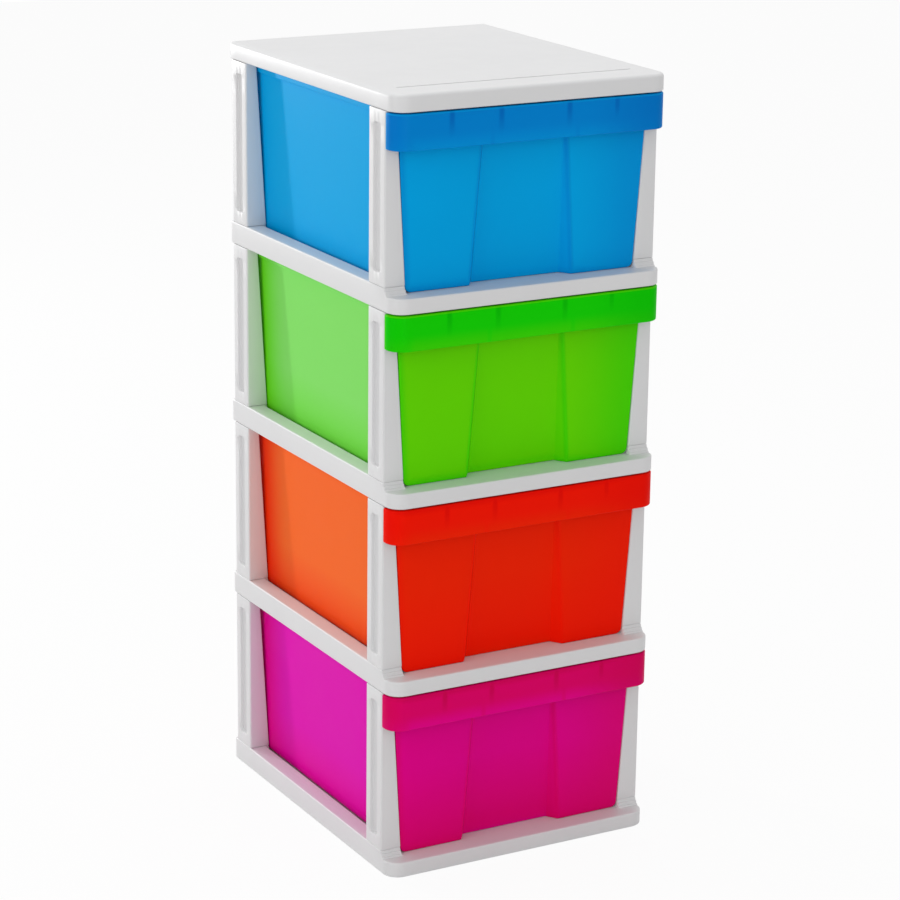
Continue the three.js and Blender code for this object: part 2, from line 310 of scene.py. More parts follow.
def grid_faces(rows, columns, wrap=True):
    """Quads between neighbouring rows and columns. A grid that wraps has its ends joined."""
    row = np.arange(rows - 1)[:, None]
    column = np.arange(columns if wrap else columns - 1)[None, :]
    first = row * columns + column
    second = row * columns + (column + 1) % columns
    return np.stack([first, second, second + columns, first + columns], -1).reshape(-1, 4)


def border(grid):
    """A grid's outer points, once round, starting along its first column."""
    return end_to_end(grid[:-1, 0], grid[-1, :-1], grid[:0:-1, -1], grid[0, :0:-1])


def tube(x, y, z):
    """A closed shell with flat ends through rings of points, one for each row of x, y and z."""
    rows = np.stack(np.broadcast_arrays(x, y, z), -1)
    count = rows.shape[1]
    last = (rows.shape[0] - 1) * count
    faces = grid_faces(rows.shape[0], count).tolist()
    faces += [list(range(count))[::-1], list(range(last, last + count))]
    return rows.reshape(-1, 3), faces


def bar(middle, levels):
    """An upright bar from levels of height, half thickness, front and rear."""
    z, half, front, rear = (np.array(column)[:, None] for column in zip(*levels))
    x = middle + half * np.array([-1, 1, 1, -1])
    return tube(x, np.where(np.array([True, True, False, False]), front, rear), z)


def join_shells(shells):
    """One list of points and one of faces from several closed shells."""
    points, faces, start = [], [], 0
    for shell_points, shell_faces in shells:
        points.append(shell_points)
        faces.extend([index + start for index in face] for face in shell_faces)
        start += len(shell_points)
    return np.concatenate(points), faces


def add_piece(node, material, shell, lift):
    """Lifts a shell to its level, merges its doubles and stands it in for its CAD node."""
    points, faces = shell
    name = "moulded_" + node
    mesh = bpy.data.meshes.new(name)
    mesh.from_pydata(points + (0, 0, lift), [], faces)
    work = bmesh.new()
    work.from_mesh(mesh)
    bmesh.ops.remove_doubles(work, verts=work.verts, dist=MERGE_DISTANCE)
    bmesh.ops.dissolve_degenerate(work, edges=work.edges, dist=MERGE_DISTANCE)
    bmesh.ops.recalc_face_normals(work, faces=work.faces)
    work.to_mesh(mesh)
    work.free()
    mesh.shade_smooth()
    mesh.set_sharp_from_angle(angle=SHARP_ANGLE)
    mesh.materials.append(material)
    piece = bpy.data.objects.new(name, mesh)
    bpy.context.scene.collection.objects.link(piece)
    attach(piece, frame["nodes"][node]["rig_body"])
    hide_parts(node)


# Plates

RIB_DRAFT = 0.3 * MM  # how much thinner each side of the rib is at its lower edge
STEP_REACH = 0.35 * MM  # half the length over which a step before a post rises
PANEL_GROOVE_REACH = 0.3 * MM  # half the width of the top panel's groove's walls


def round_plan(sizes, x, y, inset):
    """Pulls the corner squares of the plates' inset rectangle in to quarter discs.

    A point at shares a and b of the radius from the arc's centre keeps its direction, and its
    distance becomes the larger of a and b. Also gives the outward direction on the grid's border.
    """
    place_x, place_y = x.copy(), y.copy()
    out_x, out_y = np.zeros_like(x), np.zeros_like(y)
    side = np.sign(x)
    rear_radius = max(sizes.rear_radius - inset, SMALLEST_RADIUS)
    corners = ((sizes.front_radius - inset, FRONT + inset, -1), (rear_radius, REAR - inset, 1))
    for radius, edge, way in corners:
        middle_x = HALF_WIDTH - inset - radius
        middle_y = edge - way * radius
        a = np.clip((np.abs(x) - middle_x) / radius, 0, 1)
        b = np.clip(way * (y - middle_y) / radius, 0, 1)
        reach = np.maximum(np.hypot(a, b), 1e-9)
        pull = np.maximum(a, b) / reach
        corner = (a > 0) & (b > 0)
        place_x = np.where(corner, side * (middle_x + radius * a * pull), place_x)
        place_y = np.where(corner, middle_y + way * radius * b * pull, place_y)
        here = y > 0 if way > 0 else y <= 0
        out_x = np.where(here, side * a / reach, out_x)
        out_y = np.where(here, way * b / reach, out_y)
    return place_x, place_y, np.stack([out_x, out_y], -1)


def plate_shell(sizes, x_lines, y_lines, height_at, top_edge, roof):
    """A hollow plate with a middle rib: a top z = height_at(x, y), whose border is carried down.

    It goes down a quarter round, an upright side, a second quarter round, a flat lip and the
    hollow's wall. The hollow's roof closes it.
    """
    x, y = np.meshgrid(x_lines, y_lines, indexing="ij")
    plan_x, plan_y, outward = round_plan(sizes, x, y, top_edge)
    top = np.stack([plan_x, plan_y, height_at(x, y)], -1)
    rim, out = border(top), border(outward)
    rows = []
    for sine, cosine in zip(*quarter(7)):
        row = rim.copy()
        row[:, :2] += out * top_edge * sine
        row[:, 2] -= top_edge * (1 - cosine)
        rows.append(row)
    for sine, cosine in zip(*quarter(5)):
        row = rim.copy()
        row[:, :2] += out * (top_edge - sizes.edge * (1 - cosine))
        row[:, 2] = sizes.edge * (1 - sine)
        rows.append(row)
    inner = HALF_WIDTH - sizes.rail_width - sizes.wall
    for z in (0.0, roof):
        row = rows[-1].copy()
        row[:, 0] = np.clip(row[:, 0], -inner, inner)
        row[:, 1] = np.clip(row[:, 1], FRONT + sizes.wall, REAR - sizes.wall)
        row[:, 2] = z
        rows.append(row)
    rings = np.stack(rows)
    faces = grid_faces(len(x_lines), len(y_lines), wrap=False)[:, ::-1].tolist()
    start = len(x_lines) * len(y_lines)
    faces += (grid_faces(len(rows), rings.shape[1]) + start).tolist()
    end = start + (len(rows) - 1) * rings.shape[1]
    faces.append(list(range(end, end + rings.shape[1])))
    points = end_to_end(top.reshape(-1, 3), rings.reshape(-1, 3))
    return join_shells([(points, faces), middle_rib(sizes, roof)])


def middle_rib(sizes, roof):
    """The rib under a plate: a thin upright wedge from the front wall to the rear wall."""
    half = sizes.rib_thickness / 2
    front, rear = FRONT + sizes.wall / 2, REAR - sizes.wall / 2
    return bar(0.0, [(0.0, half - RIB_DRAFT, front, rear), (roof + OVERLAP, half, front, rear)])


def corner_lines(sizes, edge, *shares):
    """Shares of a front corner's radius inside the edge."""
    return (sizes.front_radius - edge) * np.array(shares)


def shelf_plate(sizes, posts):
    """A plate with raised rails, a wider collar under each post and steps before the front posts.

    Above the deck its top is the largest of the side rails, the collars and the rear rail. Each is
    a height times soft steps in x and y, and the three steps' heights add up along y.
    """
    bay = HALF_WIDTH - sizes.rail_width
    collar_bay = HALF_WIDTH - sizes.collar_width
    rear_bay = REAR - sizes.rear_rail_width
    rise = sizes.rail_height - sizes.deck_height
    reach = sizes.rail_round
    edge = sizes.edge
    post_front = FRONT + posts.front_setback
    steps = post_front + STEP_REACH - sizes.step_depth * np.arange(3)
    drops = (sizes.step_height, sizes.step_height, rise - 2 * sizes.step_height)
    collar_rear = post_front + posts.depth
    collar_front = REAR - posts.rear_setback - posts.depth

    def height_at(x, y):
        side = sum(drop * soft_step(y, place, STEP_REACH) for place, drop in zip(steps, drops))
        collar = 1 - soft_step(y, collar_rear, reach) + soft_step(y, collar_front, reach)
        rail = side * soft_step(np.abs(x), bay, reach)
        wide = side * collar * soft_step(np.abs(x), collar_bay, reach)
        behind = rise * soft_step(y, rear_bay, reach)
        return sizes.deck_height + np.maximum(np.maximum(rail, wide), behind)

    x_lines = both_sides(
        np.linspace(0, 120, 5) * MM,
        lines_across(collar_bay, reach, 9),
        lines_across(bay, reach, 9),
        HALF_WIDTH - sizes.front_radius + corner_lines(sizes, edge, 0, 0.3, 0.6, 0.85, 1),
        [HALF_WIDTH - sizes.rear_radius],
    )
    y_lines = grid_lines(
        FRONT + sizes.front_radius
        - corner_lines(sizes, edge, 1, 0.9, 0.75, 0.6, 0.45, 0.3, 0.15, 0),
        *(lines_across(place, STEP_REACH, 5) for place in steps),
        lines_across(collar_rear, reach, 9),
        np.linspace(-110, 120, 6) * MM,
        lines_across(collar_front, reach, 9),
        lines_across(rear_bay, reach, 9),
        [REAR - sizes.rear_radius, REAR - (sizes.rear_radius + edge) / 2, REAR - edge],
    )
    roof = sizes.deck_height - sizes.deck_thickness
    return plate_shell(sizes, x_lines, y_lines, height_at, edge, roof)


def top_panel(sizes, height):
    """The closed top plate, with a generous upper edge and a shallow groove behind its front edge.

    Its top is its height less the groove's depth times a soft step across and one along the groove.
    """
    middle = FRONT + sizes.groove_setback
    half = sizes.groove_width / 2
    reach = PANEL_GROOVE_REACH
    groove_half = HALF_WIDTH - sizes.groove_end
    edge = sizes.panel_edge

    def height_at(x, y):
        across = soft_step(half - np.abs(y - middle), 0.0, reach)
        along = soft_step(groove_half - np.abs(x), 0.0, reach)
        return height - sizes.groove_depth * across * along

    x_lines = both_sides(
        np.linspace(0, 120, 4) * MM,
        lines_across(groove_half, reach, 5),
        HALF_WIDTH - sizes.front_radius + corner_lines(sizes, edge, 0, 0.2, 0.4, 0.6, 0.8, 1),
    )
    y_lines = grid_lines(
        FRONT + sizes.front_radius - corner_lines(sizes, edge, 1, 0.8, 0.6, 0.4, 0.2, 0),
        lines_across(middle - half, reach, 5),
        lines_across(middle + half, reach, 5),
        np.linspace(-120, 170, 7) * MM,
        [REAR - edge - SMALLEST_RADIUS, REAR - edge],
    )
    roof = height - sizes.groove_depth - sizes.deck_thickness
    return plate_shell(sizes, x_lines, y_lines, height_at, edge, roof)


# Posts

POST_GROOVE_REACH = 0.55 * MM  # half the width of the groove's walls
POST_GROOVE_CORNER = 3 * MM


def post_shell(sizes, plates, side, front):
    """A post: a rounded rectangle carried upward, whose inner face leans outward with height.

    Its outer face sinks by the groove's depth inside a rounded rectangle in y and z, by a soft step
    of the distance to that outline.
    """
    foot = plates.rail_height + sizes.seam
    head = LEVEL_PITCH - sizes.seam
    low, high = plates.rail_height + sizes.groove_end, LEVEL_PITCH - sizes.groove_end
    radius = sizes.edge
    rear = front + sizes.depth
    middle_y = front + sizes.depth / 2
    half_y = sizes.groove_width / 2
    reach, corner = POST_GROOVE_REACH, POST_GROOVE_CORNER
    groove_y = end_to_end(
        lines_across(middle_y - half_y, reach),
        middle_y + np.array([-5.6, -4.4, 0.0, 4.4, 5.6]) * MM,
        lines_across(middle_y + half_y, reach),
    )
    # Each stretch of the ring: its arc's centre in y, its angles, and 1 on the outer face
    turn = np.linspace(0, QUARTER_TURN, 6)
    stretches = (
        (front + radius, turn + 2 * QUARTER_TURN, 0),
        (front + radius, turn + 3 * QUARTER_TURN, 1),
        (groove_y, 0 * groove_y, 1),
        (rear - radius, turn, 1),
        (rear - radius, turn + QUARTER_TURN, 0),
    )
    stretches = [np.stack(np.broadcast_arrays(*stretch)) for stretch in stretches]
    centre_y, angle, on_outer = side_by_side(*stretches)
    near_end = np.array([1.2, 2.2, 3.4]) * MM
    groove_z = end_to_end(
        lines_across(low, reach),
        low + near_end,
        np.linspace(low + 20 * MM, high - 20 * MM, 5),
        high - near_end[::-1],
        lines_across(high, reach),
    )
    rise = sizes.seam_round * (1 - quarter(4)[1])
    inset = sizes.seam_round * (1 - quarter(4)[0])
    z = end_to_end(foot + rise, groove_z, head - rise[::-1])[:, None]
    inset = end_to_end(inset, 0 * groove_z, inset[::-1])[:, None]
    inner_x = HALF_WIDTH - between(z, foot, head, sizes.foot_width, sizes.head_width)
    centre_x = np.where(on_outer > 0, HALF_WIDTH - radius, inner_x + radius)
    x = centre_x + (radius - inset) * np.cos(angle)
    y = centre_y + (radius - inset) * np.sin(angle)
    off_y = np.maximum(np.abs(y - middle_y) - (half_y - corner), 0)
    off_z = np.maximum(np.abs(z - (low + high) / 2) - ((high - low) / 2 - corner), 0)
    inside = corner - np.hypot(off_y, off_z)
    x = x - sizes.groove_depth * soft_step(inside, 0.0, reach) * on_outer
    return tube(side * x, y, z)


# Drawers

WALL_ROWS = np.array([40, 80, 120, 150, 157, 160, 162.5, 164, 165.5, 167, 168.5, 172]) * MM
BEAD_EDGE = 0.3 * MM
RIM_OUTER_ROUND = 0.7 * MM
RIM_INNER_ROUND = 0.5 * MM
INNER_FRONT_EDGE = 1.2 * MM
FACE_STEP = 0.4 * MM  # depth over which the front's extra width ends
SMALLEST_FRONT_CORNER = 0.5 * MM
SMALLEST_REAR_CORNER = 1 * MM
DENT_UNDER_BAND = 5 * MM  # how far the dent goes on behind the band
DENT_RUN_OUT = 2.5 * MM  # half the height over which it ends there
DENT_SPREAD = 0.7  # how far the dent's walls go sideways for each unit of depth
DENT_MOUTH = 1.1 * MM  # half the depth over which its walls start
DENT_BOTTOM = 0.45 * MM  # half the depth over which its walls end
BAND_LIP_EDGE = 0.1 * MM
BAND_FILLET = 0.5 * MM
FIN_START = 1.4 * MM  # where a fin starts inside the band's wall
FIN_TAPER = ((0.0, 0.38), (3 * MM, 0.42))  # heights above a fin's foot and its half thickness there
FIN_HEAD = (0.6 * MM, 0.5)  # depth of its head under the band's top and its half thickness there


def front_plane(sizes, z):
    """Where the leaning front stands at a height."""
    foot = FRONT + sizes.front_setback
    return between(z, DRAWER_LOW.z, DRAWER_HIGH.z, foot, foot - sizes.front_lean)


def tub_profile(sizes):
    """The tub's profile: its height, the sides' inset, the front's inset and 1 on the inside.

    It goes up the outside, over the rim and down the inside, with quarter rounds at both floors.
    """
    floor, top, wall = DRAWER_LOW.z, DRAWER_HIGH.z, sizes.wall
    reach = sizes.rim_reach
    rim_low = top - sizes.rim_height
    sine, cosine = quarter(6)
    rim_turn = tuple(zip(*quarter(4)))
    rows = []
    for s, c in zip(sine, cosine):
        side, face = sizes.floor_edge * (1 - s), sizes.front_edge * (1 - s)
        rows.append((floor + sizes.floor_edge * (1 - c), side, face, 0))
    rows += [(height, 0, 0, 0) for height in (*WALL_ROWS, rim_low)]
    rows += [(rim_low, BEAD_EDGE - reach, 0, 0), (rim_low + BEAD_EDGE, -reach, 0, 0)]
    for s, c in rim_turn:
        face = RIM_OUTER_ROUND * (1 - c)
        rows.append((top - RIM_OUTER_ROUND * (1 - s), face - reach, face, 0))
    for s, c in rim_turn:
        face = wall - RIM_INNER_ROUND * (1 - s)
        rows.append((top - RIM_INNER_ROUND * (1 - c), face, face, 1))
    rows += [(height, wall, wall, 1) for height in WALL_ROWS[::-1]]
    inner_edge = sizes.floor_edge - wall
    for s, c in zip(sine[::-1], cosine[::-1]):
        side, face = wall + inner_edge * (1 - s), wall + INNER_FRONT_EDGE * (1 - s)
        rows.append((floor + wall + inner_edge * (1 - c), side, face, 1))
    return (np.array(column)[:, None] for column in zip(*rows))


def dented_front(sizes, z, front, face_edge, inside):
    """x and y of the front's points at each height, pushed in over the dented middle.

    The push is a ramp that rises from the dent's edge by one over its spread. It starts softly, and
    stops softly at the dent's depth, which runs out in a soft step at the dent's top.
    """
    dent = (z, DRAWER_LOW.z, DRAWER_HIGH.z - sizes.band_height + DENT_UNDER_BAND)
    half = between(*dent, sizes.dent_floor_width / 2, sizes.dent_top_width / 2)
    half = half + inside * sizes.wall * (math.hypot(1, DENT_SPREAD) - DENT_SPREAD)
    full = between(*dent, sizes.dent_floor_depth, sizes.dent_top_depth)
    depth = full * (1 - soft_step(z, dent[-1], DENT_RUN_OUT))
    knots = side_by_side(
        lines_across(0 * z, DENT_MOUTH, 6),
        full * 0.55,
        lines_across(full, DENT_BOTTOM, 5),
    )
    slope_x = DENT_SPREAD * knots - half
    plain_x = slope_x[:, :1] * np.array([0.55, 0.8]) - face_edge * np.array([0.45, 0.2])
    middle_x = slope_x[:, -1:] * np.array([0.6, 0.25])
    left_x = side_by_side(plain_x, slope_x, middle_x)
    x = side_by_side(left_x, -left_x[:, ::-1])
    push = soft_ramp((half - np.abs(x)) / DENT_SPREAD, DENT_MOUTH)
    push = depth - soft_ramp(depth - push, DENT_BOTTOM)
    return x, front + np.maximum(push, 0)


def tub_shell(sizes):
    """The tub with its rim: a plan ring carried along a profile of height and inset.

    The ring is a rectangle with rounded corners, wider over the face's thickness and with a dented
    front. Its left side mirrors its right side.
    """
    floor, top = DRAWER_LOW.z, DRAWER_HIGH.z
    z, side, face, inside = tub_profile(sizes)
    half = between(z, floor, top, sizes.floor_half, sizes.head_half) - side
    face_half = between(z, floor, top - sizes.band_height, sizes.floor_half, sizes.face_half)
    wide = np.where(inside > 0, half, np.maximum(face_half - np.maximum(side, 0), half))
    front = front_plane(sizes, z) + face
    face_rear = front + sizes.face_thickness
    rear = REAR - sizes.rear_setback - between(z, floor, top, sizes.rear_lean, 0.0) - side
    radius = np.maximum(sizes.front_corner - side, SMALLEST_FRONT_CORNER)
    rear_radius = np.maximum(sizes.rear_corner - side, SMALLEST_REAR_CORNER)
    front_x, front_y = dented_front(sizes, z, front, wide - radius, inside)
    sine, cosine = quarter(7)
    rear_sine, rear_cosine = quarter(9)
    rear_x = np.linspace(0.8, -0.8, 5) * (half - rear_radius)
    right_x = side_by_side(
        wide - radius + radius * sine,
        wide,
        half,
        half - rear_radius + rear_radius * rear_cosine,
    )
    right_y = side_by_side(
        front + radius - radius * cosine,
        face_rear,
        face_rear + FACE_STEP,
        rear - rear_radius + rear_radius * rear_sine,
    )
    x = side_by_side(front_x, right_x, rear_x, -right_x[:, ::-1])
    y = side_by_side(front_y, right_y, rear + 0 * rear_x, right_y[:, ::-1])
    return tube(x, y, z)


def band_shell(sizes, plates, posts):
    """The handle band: an upside-down L profile carried along a U path with two round corners.

    The upright leg hangs at the path. The other leg, the band's roof, reaches from each point of
    the path to a straight line just before the posts.
    """
    top = DRAWER_HIGH.z
    low, roof = top - sizes.band_height, top - sizes.band_roof
    back = FRONT + posts.front_setback - sizes.band_gap
    edge, wall = sizes.band_edge, sizes.band_wall
    radius = min(plates.front_radius, back - FRONT - wall)
    straight = np.linspace(-1, 1, 15)[1:-1]
    turn = np.linspace(0, QUARTER_TURN, 13)
    front_turn = 0 * straight + QUARTER_TURN
    angle = end_to_end([0], turn, front_turn, turn + QUARTER_TURN, [2 * QUARTER_TURN])[:, None]
    out_x, out_y = -np.cos(angle), -np.sin(angle)
    ends = np.ones(len(turn) + 1)
    centre_x = (HALF_WIDTH - radius) * end_to_end(-ends, straight, ends)[:, None]
    path_x = centre_x + radius * out_x
    path_y = FRONT + radius + radius * out_y
    path_y[[0, -1]] = back
    sine, cosine = quarter(5)
    near = edge + BAND_LIP_EDGE
    upper = [near, near, wall + BAND_FILLET, wall]
    inset = end_to_end([wall, near], edge * (1 - sine), edge * (1 - cosine), upper)
    upper = [top, roof, roof, roof - BAND_FILLET]
    z = end_to_end([low, low], low + edge * (1 - cosine), top - edge * (1 - sine), upper)
    x, y = path_x - out_x * inset, path_y - out_y * inset
    x[:, -4:-2] = np.clip(path_x, edge - HALF_WIDTH, HALF_WIDTH - edge)
    y[:, -4:-2] = back
    return tube(x, y, z)


def band_fins(sizes):
    """Four fins between the band and the drawer's front, thin wedges that narrow downward."""
    top = DRAWER_HIGH.z
    foot = top - sizes.rib_height
    heights = [(foot + rise, share) for rise, share in FIN_TAPER]
    heights.append((top - FIN_HEAD[0], FIN_HEAD[1]))
    levels = [
        (z, share * sizes.rib_thickness, FRONT + FIN_START, front_plane(sizes, z) + OVERLAP)
        for z, share in heights
    ]
    spans = np.array([-sizes.rib_outer_span, -sizes.rib_inner_span])
    return [bar(middle, levels) for middle in both_sides(spans / 2)]


# Materials

# Each shade of the tinted plastic: the distances where it starts and is full, and its full share
FIN_SHADE = (4.5 * MM, 1 * MM, 0.9)
LINE_SHADE = (3.8 * MM, 0.8 * MM, 0.5)
WALL_SHADE = (0.3 * MM, 1.2 * MM, 0.14)
EDGE_SHADE = (9 * MM, 0.0, 0.5)
FOOT_SHADE = (11 * MM, 0.0, 0.5)
# painted shade: darker towards the right-hand end, where the least light comes through
RIGHT_PAINTED_SHADE = (50 * MM, 145 * MM, 0.55)
END_SHADE = (18 * MM, 0.0, 0.5)
# Those that change with the drift: their distances from the band's top, and their greatest share
CROWN_SHADE = (8 * MM, 1 * MM, 0.8)
LIP_SHADE = (2.2 * MM, 0.8 * MM, 0.5)
PALE_HEIGHT = 18 * MM  # height over which the band pales towards its lower edge
PALE_SHARE = 0.75
FRONT_DEPTHS = (13 * MM, 11 * MM)  # depths between which the front's shades end
FLOOR_DEPTHS = (0.2 * MM, 1 * MM)  # depths left to the dent's floor, where the walls' shade ends
# where the sides' painted light starts, measured from the middle
SIDE_OUTWARD = (118 * MM, 124 * MM)  # distances from the middle between which the sides start
DEEPEST_SHARE, DEEPEST_POWER = 0.88, 1.25
TINTED_SHADER = {
    "IOR": 1.38,
    "Transmission Weight": 0.04,
    "Specular IOR Level": 0.04,
    "Subsurface Weight": 0.1,
    "Subsurface Scale": 0.004,
    "Subsurface Radius": (1.0, 1.0, 1.0),
}
GRAIN_DEPTH = 0.3 * MM


def node_tree(name):
    """A fresh material with its Principled shader and its node tree."""
    material = bpy.data.materials.new(name)
    material.use_nodes = True
    return material, material.node_tree, material.node_tree.nodes["Principled BSDF"]


def feed(tree, node, values):
    """Gives a node's inputs, by name or number, a plain value or the link from a socket."""
    for key, value in values.items():
        if isinstance(value, bpy.types.NodeSocket):
            tree.links.new(value, node.inputs[key])
        else:
            node.inputs[key].default_value = value


def add_node(tree, kind, values=(), **attributes):
    """A node with its attributes set and its inputs fed."""
    node = tree.nodes.new(kind)
    for key, value in attributes.items():
        setattr(node, key, value)
    feed(tree, node, dict(values))
    return node


def noise(tree, place, scale, detail, roughness=0.5):
    """Noise on object coordinates."""
    values = {"Vector": place, "Scale": scale, "Detail": detail, "Roughness": roughness}
    return add_node(tree, "ShaderNodeTexNoise", values).outputs["Fac"]


def grain(tree, place, fine, coarse, strength):
    """Moulded skin: fine pits over a slow waviness, as bump."""
    pits = noise(tree, place, fine, 3.0, 0.6)
    waves = noise(tree, place, coarse, 2.0)
    height = combine(tree, "ADD", combine(tree, "MULTIPLY", pits, 0.35), waves)
    values = {"Strength": strength, "Distance": GRAIN_DEPTH, "Height": height}
    return add_node(tree, "ShaderNodeBump", values).outputs["Normal"]


def blend_colours(tree, factor, first, second):
    """Mixes two colours, each a plain colour or a socket, by a factor's socket."""
    values = {"Factor": factor}
    for key, value in (("A", first), ("B", second)):
        values[key] = value if isinstance(value, bpy.types.NodeSocket) else (*value, 1)
    return add_node(tree, "ShaderNodeMix", values, data_type="RGBA").outputs["Result"]


def tint(tree, place, base, light, dark, scale):
    """A colour that drifts a little between a lighter and a darker mix of itself."""
    darker = [channel * dark for channel in base]
    lighter = [min(channel * light, 1) for channel in base]
    return blend_colours(tree, noise(tree, place, scale, 4.0), darker, lighter)


def combine(tree, operation, first, second):
    """One step of arithmetic on two values, each a number or a socket."""
    values = {0: first, 1: second}
    return add_node(tree, "ShaderNodeMath", values, operation=operation).outputs["Value"]


def product(tree, first, *others):
    """The product of several values."""
    for other in others:
        first = combine(tree, "MULTIPLY", first, other)
    return first


def largest(tree, first, *others):
    """The largest of several values."""
    for other in others:
        first = combine(tree, "MAXIMUM", first, other)
    return first


def apart(tree, first, second):
    """The distance between two values."""
    return combine(tree, "ABSOLUTE", combine(tree, "SUBTRACT", first, second), 0.0)


def map_to(tree, value, start, end, first, last, **attributes):
    """Goes evenly from the first value to the last between start and end."""
    values = {"Value": value, "From Min": start, "From Max": end, "To Min": first, "To Max": last}
    return add_node(tree, "ShaderNodeMapRange", values, **attributes).outputs["Result"]


def fade(tree, value, start, end, full=1.0):
    """Zero at start and the full value at end, smooth between."""
    return map_to(tree, value, start, end, 0.0, full, interpolation_type="SMOOTHSTEP")


def satin(tree, place, scale, smooth, rough):
    """A roughness that wanders between two values."""
    return map_to(tree, noise(tree, place, scale, 3.0), 0.0, 1.0, smooth, rough)


def white_plastic(colours):
    """Satin white polypropylene with faint flow marks and a fine moulded grain."""
    material, tree, shader = node_tree("moulded_white")
    place = add_node(tree, "ShaderNodeTexCoord").outputs["Object"]
    values = {
        "Base Color": tint(tree, place, colours.white, light=1.03, dark=0.965, scale=9.0),
        "Roughness": satin(tree, place, scale=45.0, smooth=0.34, rough=0.5),
        "Normal": grain(tree, place, fine=900.0, coarse=60.0, strength=0.45),
        "IOR": 1.49,
    }
    feed(tree, shader, values)
    return material


class DrawerPlaces:
    """Sockets that a drawer's shades are measured from.

    side is |x|, push is the depth behind the leaning front, and on_front is 1 down to the dent's
    floor. dent_half, dent_depth and face_half are half the dent's width, its depth and half the
    front's width at the same height.
    """

    def __init__(self, tree, place, sizes, top):
        axes = add_node(tree, "ShaderNodeSeparateXYZ", {"Vector": place})
        self.x, self.y, self.z = (axes.outputs[key] for key in "XYZ")
        self.side = apart(tree, self.x, 0.0)
        self.top = top
        self.floor = floor = top - DRAWER_HIGH.z + DRAWER_LOW.z
        self.band_low = low = top - sizes.band_height
        self.front_y = FRONT + sizes.front_setback - sizes.front_lean
        plane = map_to(tree, self.z, floor, top, self.front_y + sizes.front_lean, self.front_y)
        self.push = combine(tree, "SUBTRACT", self.y, plane)
        self.on_front = fade(tree, self.push, *FRONT_DEPTHS)
        dent = (tree, self.z, floor, low + DENT_UNDER_BAND)
        self.dent_half = map_to(*dent, sizes.dent_floor_width / 2, sizes.dent_top_width / 2)
        self.dent_depth = map_to(*dent, sizes.dent_floor_depth, sizes.dent_top_depth)
        self.face_half = map_to(tree, self.z, floor, low, sizes.floor_half, sizes.face_half)


def band_share(tree, at):
    """1 on the handle band and 0 elsewhere."""
    above = fade(tree, at.z, at.band_low - 0.2 * MM, at.band_low + 0.2 * MM)
    before = fade(tree, at.y, at.front_y - 0.6 * MM, at.front_y - 1.4 * MM)
    return product(tree, above, before)


def fin_share(tree, at, sizes):
    """Grows towards the nearest fin and upward: the fins lie at half the inner and outer span."""
    middle = (sizes.rib_inner_span + sizes.rib_outer_span) / 4
    off = apart(tree, apart(tree, at.side, middle), middle - sizes.rib_inner_span / 2)
    upward = fade(tree, at.z, at.top - sizes.rib_height - 3 * MM, at.top - 4 * MM)
    return product(tree, fade(tree, off, *FIN_SHADE), upward)


def front_share(tree, at):
    """Grows towards the front's edges and its right end, and along the dent's edges and walls. The
    growth towards the right end is painted shade, where the least light comes through.
    """
    edge = fade(tree, combine(tree, "SUBTRACT", at.face_half, at.side), *EDGE_SHADE)
    foot = fade(tree, combine(tree, "SUBTRACT", at.z, at.floor), *FOOT_SHADE)
    line = fade(tree, apart(tree, at.side, at.dent_half), *LINE_SHADE)
    right = fade(tree, at.x, *RIGHT_PAINTED_SHADE)
    left_over = combine(tree, "SUBTRACT", at.dent_depth, at.push)
    wall = product(tree, fade(tree, at.push, *WALL_SHADE), fade(tree, left_over, *FLOOR_DEPTHS))
    return largest(tree, wall, product(tree, largest(tree, edge, foot, line, right), at.on_front))


def painted_side_light(tree, at):
    """Painted light on the tub's sides: grows from the front, the rear and the floor towards the
    middle of the tub's sides.
    The paler colour stands for the lamp's sheen and the light that comes through the sides. Held
    back near the rear, it leaves a painted shadow of the rear post there.
    """
    return product(
        tree,
        fade(tree, at.y, at.front_y + 3 * MM, at.front_y + 60 * MM),
        fade(tree, at.y, REAR - 30 * MM, REAR - 95 * MM),
        map_to(tree, at.z, at.floor, at.floor + 60 * MM, 0.35, 1.0),
        fade(tree, at.side, *SIDE_OUTWARD),
    )


